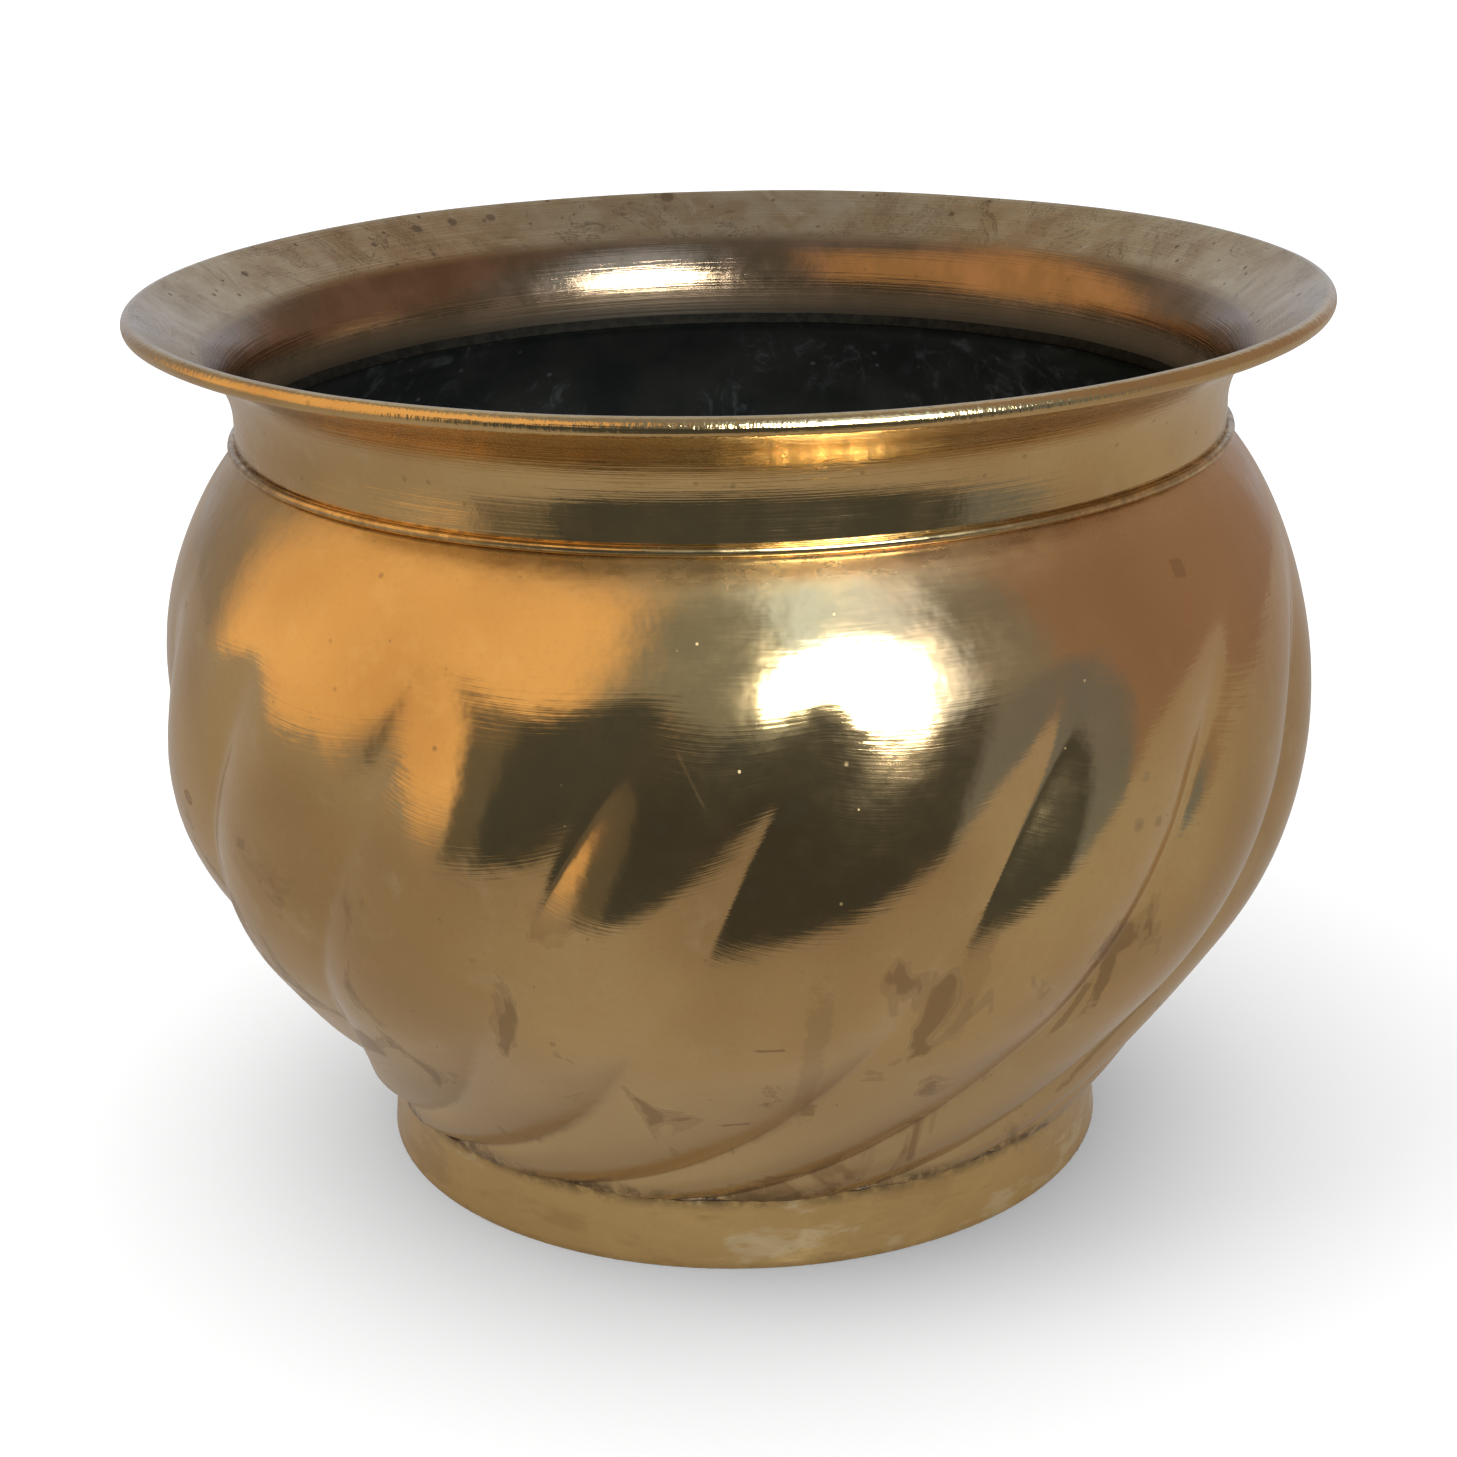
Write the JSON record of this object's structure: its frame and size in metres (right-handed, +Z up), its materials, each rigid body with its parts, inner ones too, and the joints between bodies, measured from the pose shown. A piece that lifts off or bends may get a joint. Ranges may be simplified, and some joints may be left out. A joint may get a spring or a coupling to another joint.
{
  "type": "brass planter pot",
  "caption": "Round brass pot cover with swirled lobes, a narrower neck, a wide flared lip with a rolled edge, and a soldered foot ring.",
  "frame": {"origin": "centre of the plane that the foot ring stands on", "axes": "+Z up along the pot's axis, out of the mouth; -Y towards the front"},
  "size_m": [0.2228, 0.2228, 0.168],
  "materials": {
    "bowl_brass": "polished sheet brass, lightly brushed and tarnished, dark patina inside",
    "collar_brass": "spun sheet brass, worn polish with a stained lip",
    "wire_brass": "drawn wire, hidden in the rolled edge",
    "foot_brass": "satin sheet brass with a golden tarnish",
    "solder": "brazing solder, darkened by dirt"
  },
  "bodies": {
    "root": {"bowl": "bowl_brass", "neck_collar": "collar_brass", "rim_wire": "wire_brass", "foot_ring": "foot_brass", "neck_solder": "solder", "foot_solder": "solder"}
  },
  "joints": []
}
